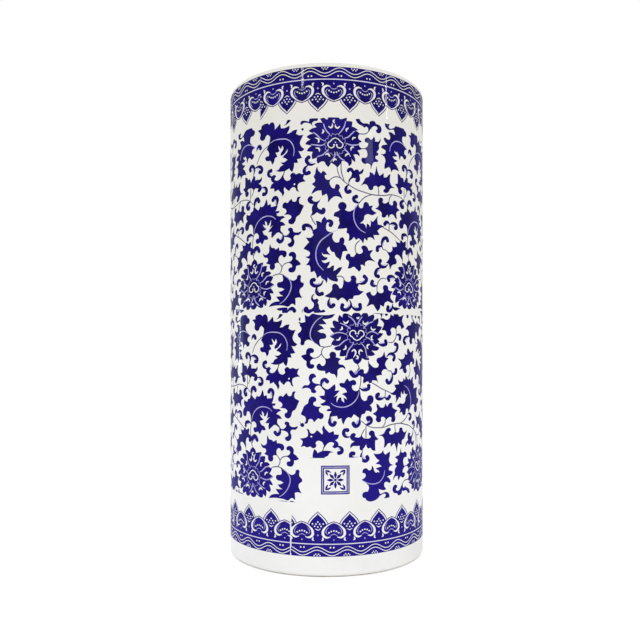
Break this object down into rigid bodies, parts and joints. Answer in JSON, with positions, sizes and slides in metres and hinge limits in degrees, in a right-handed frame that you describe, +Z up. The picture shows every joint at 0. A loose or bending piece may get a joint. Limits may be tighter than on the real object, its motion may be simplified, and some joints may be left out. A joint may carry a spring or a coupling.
{
  "type": "umbrella stand",
  "caption": "Straight glazed porcelain cylinder, open at the top, with cobalt lotus-scroll sheets and lappet borders, for standing umbrellas in.",
  "frame": {"origin": "on the ground at the middle of the foot", "axes": "+Z up along the cylinder's axis, front of the print towards -Y, +X to the right seen from the front"},
  "size_m": [0.2, 0.2, 0.468],
  "materials": {
    "white_glaze": "clear gloss glaze over white porcelain",
    "cobalt_print": "cobalt transfer print under clear gloss glaze"
  },
  "bodies": {
    "root": {"cylinder_wall": "white_glaze", "floor_slab": "white_glaze", "front_panel": "cobalt_print", "lower_border_strip_1": "cobalt_print", "lower_border_strip_2": "cobalt_print", "upper_border_strip_1": "cobalt_print", "upper_border_strip_2": "cobalt_print", "lower_sheet_1": "cobalt_print", "lower_sheet_2": "cobalt_print", "lower_sheet_3": "cobalt_print", "lower_sheet_4": "cobalt_print", "upper_sheet_1": "cobalt_print", "upper_sheet_2": "cobalt_print", "upper_sheet_3": "cobalt_print", "upper_sheet_4": "cobalt_print"}
  },
  "joints": []
}
